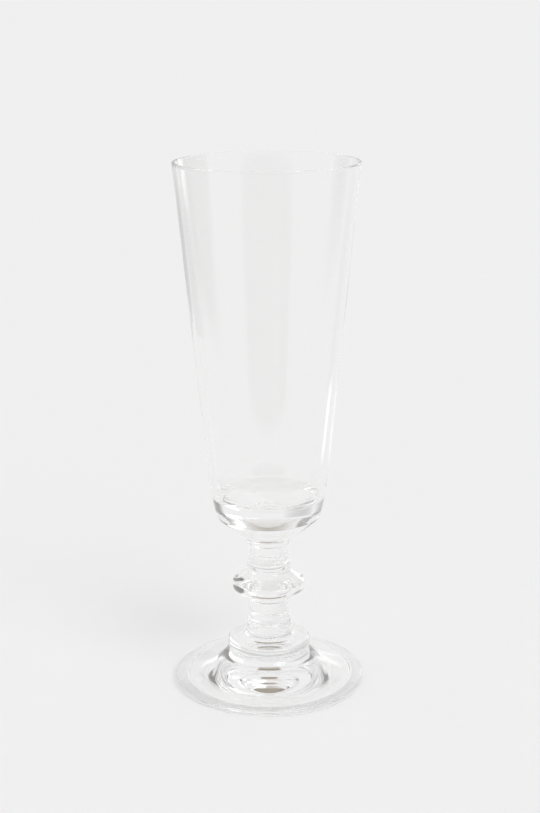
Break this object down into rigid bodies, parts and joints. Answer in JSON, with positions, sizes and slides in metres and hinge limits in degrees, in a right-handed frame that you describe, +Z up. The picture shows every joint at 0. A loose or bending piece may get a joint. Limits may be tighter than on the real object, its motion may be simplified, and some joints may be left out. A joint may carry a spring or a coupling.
{
  "type": "champagne flute",
  "caption": "Clear glass champagne flute with a tall tapered bowl, short stem, disc knop, round collar and domed foot.",
  "frame": {"origin": "centre of the resting ring, on the surface that the flute stands on", "axes": "+Z up along the axis that every piece is turned about, out of the bowl's mouth; X and Y are equal"},
  "size_m": [0.0674, 0.0674, 0.185],
  "materials": {
    "clear_glass": "fire-polished clear soda-lime glass"
  },
  "bodies": {
    "root": {"foot": "clear_glass", "collar": "clear_glass", "lower_stem": "clear_glass", "knop": "clear_glass", "upper_stem": "clear_glass", "bowl_ring": "clear_glass", "bowl": "clear_glass"}
  },
  "joints": []
}
